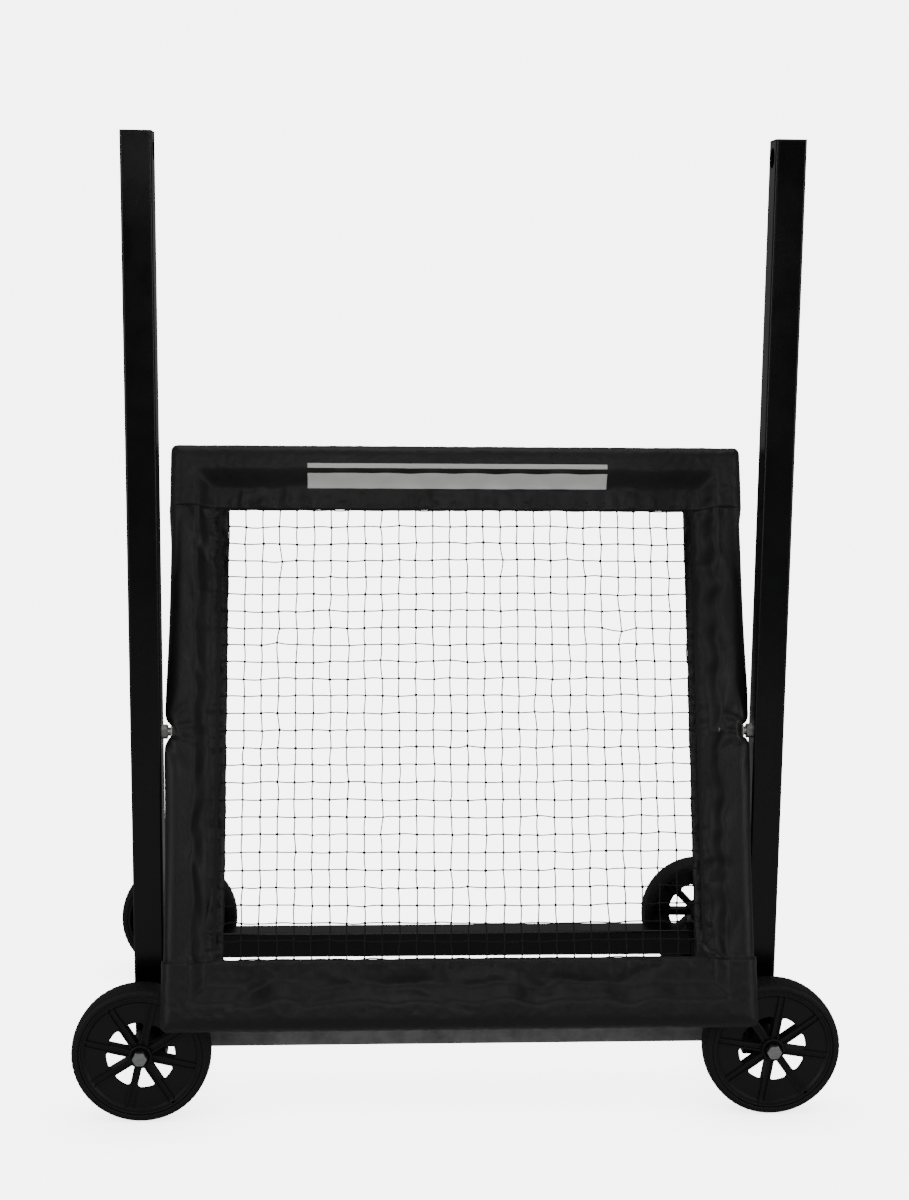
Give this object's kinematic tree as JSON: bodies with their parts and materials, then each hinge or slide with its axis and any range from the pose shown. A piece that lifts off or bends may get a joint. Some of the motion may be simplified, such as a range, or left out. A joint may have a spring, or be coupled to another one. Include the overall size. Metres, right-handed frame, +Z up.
{
  "type": "wheeled ball rebounder",
  "caption": "Square padded net frame that tilts between two tall square-tube uprights on a low wheeled base, to throw a ball back.",
  "frame": {"origin": "on the floor at the middle of the bounding box", "axes": "+X to the right, +Y to the back, +Z up; the wheels turn about Y and the net frame about X"},
  "size_m": [1.1312, 0.7192, 1.418],
  "materials": {
    "black_powder_coat": "gloss black powder coat on square steel tube",
    "cap_plastic": "moulded black end caps",
    "zinc_hardware": "bright zinc plate",
    "black_hardware": "black oxide",
    "foam": "dark closed-cell foam",
    "sleeve_vinyl": "black PVC-coated polyester, soft sheen",
    "net_twine": "black knotted twine",
    "frame_steel": "black paint, hidden in the sleeves",
    "nylon": "natural nylon",
    "tyre": "matte black tyre",
    "wheel_plastic": "matte black moulded wheel"
  },
  "bodies": {
    "base": {"left_upright": "black_powder_coat", "right_upright": "black_powder_coat", "left_rear_post": "black_powder_coat", "right_rear_post": "black_powder_coat", "left_side_rail": "black_powder_coat", "right_side_rail": "black_powder_coat", "left_upright_cap": "cap_plastic", "right_upright_cap": "cap_plastic", "foot_caps": "cap_plastic", "rear_post_caps": "cap_plastic", "front_cross_tube": "black_powder_coat", "rear_cross_tube": "black_powder_coat", "front_weld_beads": "black_powder_coat", "rear_weld_beads": "black_powder_coat", "axle_lock_nuts": "zinc_hardware", "axle_washers": "black_hardware", "axle_bosses": "zinc_hardware", "left_pivot_bolt": "zinc_hardware", "right_pivot_bolt": "zinc_hardware", "pivot_jam_nuts": "zinc_hardware", "pivot_bosses": "zinc_hardware", "front_left_axle_bolt": "zinc_hardware", "front_right_axle_bolt": "zinc_hardware", "rear_left_axle_bolt": "zinc_hardware", "rear_right_axle_bolt": "zinc_hardware"},
    "net_frame": {"foam_top": "foam", "foam_bottom": "foam", "foam_left": "foam", "foam_right": "foam", "sleeve_top": "sleeve_vinyl", "sleeve_bottom": "sleeve_vinyl", "sleeve_left": "sleeve_vinyl", "sleeve_right": "sleeve_vinyl", "frame_top_tube": "frame_steel", "frame_bottom_tube": "frame_steel", "frame_left_tube": "frame_steel", "frame_right_tube": "frame_steel", "net": "net_twine", "net_hem_cord": "net_twine", "left_pivot_bush": "nylon", "right_pivot_bush": "nylon", "pivot_washers": "nylon"},
    "front_left_wheel": {"front_left_tyre": "tyre", "front_left_rim": "wheel_plastic", "front_left_hub_bush": "nylon"},
    "front_right_wheel": {"front_right_tyre": "tyre", "front_right_rim": "wheel_plastic", "front_right_hub_bush": "nylon"},
    "rear_left_wheel": {"rear_left_tyre": "tyre", "rear_left_rim": "wheel_plastic", "rear_left_hub_bush": "nylon"},
    "rear_right_wheel": {"rear_right_tyre": "tyre", "rear_right_rim": "wheel_plastic", "rear_right_hub_bush": "nylon"}
  },
  "joints": [
    {"name": "net_tilt", "type": "hinge", "parent": "base", "child": "net_frame", "pos_m": [0, -0.19952, 0.563], "axis": [-1, 0, 0], "range_deg": [0, 160]},
    {"name": "front_left_wheel_spin", "type": "hinge", "parent": "base", "child": "front_left_wheel", "pos_m": [-0.464, -0.274, 0.1016], "axis": [0, 1, 0], "continuous": true},
    {"name": "front_right_wheel_spin", "type": "hinge", "parent": "base", "child": "front_right_wheel", "pos_m": [0.464, -0.274, 0.1016], "axis": [0, 1, 0], "continuous": true},
    {"name": "rear_left_wheel_spin", "type": "hinge", "parent": "base", "child": "rear_left_wheel", "pos_m": [-0.464, 0.32695, 0.1016], "axis": [0, 1, 0], "continuous": true},
    {"name": "rear_right_wheel_spin", "type": "hinge", "parent": "base", "child": "rear_right_wheel", "pos_m": [0.464, 0.32695, 0.1016], "axis": [0, 1, 0], "continuous": true}
  ]
}
